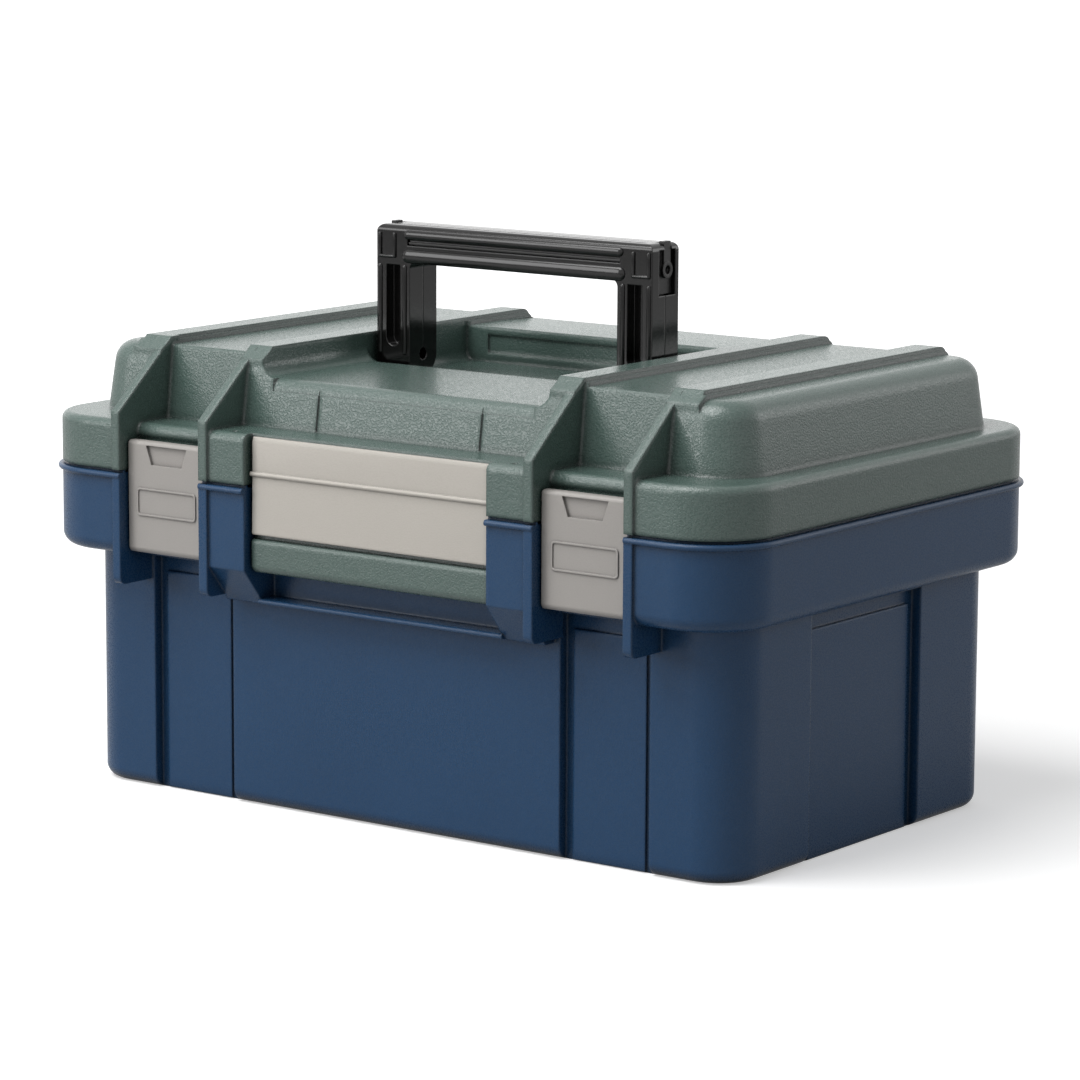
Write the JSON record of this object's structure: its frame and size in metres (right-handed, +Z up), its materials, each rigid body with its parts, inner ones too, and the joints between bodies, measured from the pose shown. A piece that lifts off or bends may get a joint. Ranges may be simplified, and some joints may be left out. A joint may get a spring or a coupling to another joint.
{
  "type": "tool case",
  "caption": "Deep rectangular case with a stepped rim band, a domed lid on rear hinges, front latches and a carrying handle that folds into a recess in the lid.",
  "frame": {"origin": "centre of the tub's flat rest face", "axes": "+X along the width, to the right as seen from the front; the latches face -Y; +Z up"},
  "size_m": [0.4344, 0.2935, 0.2881],
  "materials": {
    "base": "navy blue moulded polypropylene with a fine satin grain",
    "lid": "grey green moulded polypropylene with a fine sand grain",
    "latch": "warm light grey moulded plastic, satin",
    "plate": "warm light grey moulded plastic, satin",
    "handle": "black moulded plastic, semi-gloss",
    "insert": "black moulded plastic, satin",
    "pin": "plain drawn steel wire and zinc plated screws"
  },
  "bodies": {
    "base": {"base_tub": "base", "hinge_pin_left": "pin", "hinge_pin_right": "pin", "latch_pin_left": "pin", "latch_pin_right": "pin"},
    "lid": {"lid_shell": "lid", "front_plate": "plate", "front_plate_screws": "pin", "handle_pivot_pin_left": "pin", "handle_pivot_pin_right": "pin", "handle_washer_left": "insert", "handle_washer_right": "insert"},
    "handle": {"handle_front_shell": "handle", "handle_rear_shell": "handle", "handle_grip_insert": "insert", "handle_clip_left": "insert", "handle_clip_right": "insert", "handle_screws": "pin"},
    "latch_left": {"latch_left": "latch"},
    "latch_right": {"latch_right": "latch"}
  },
  "joints": [
    {"name": "lid_hinge", "type": "hinge", "parent": "base", "child": "lid", "pos_m": [0, 0.1458, 0.16675], "axis": [-1, 0, 0], "range_deg": [0, 105]},
    {"name": "handle_fold", "type": "hinge", "parent": "lid", "child": "handle", "pos_m": [0, -0.0105, 0.221], "axis": [-1, 0, 0], "range_deg": [0, 90]},
    {"name": "latch_left_pivot", "type": "hinge", "parent": "base", "child": "latch_left", "pos_m": [-0.1295, -0.1333, 0.1286], "axis": [1, 0, 0], "range_deg": [0, 110]},
    {"name": "latch_right_pivot", "type": "hinge", "parent": "base", "child": "latch_right", "pos_m": [0.1295, -0.1333, 0.1286], "axis": [1, 0, 0], "range_deg": [0, 110]}
  ]
}
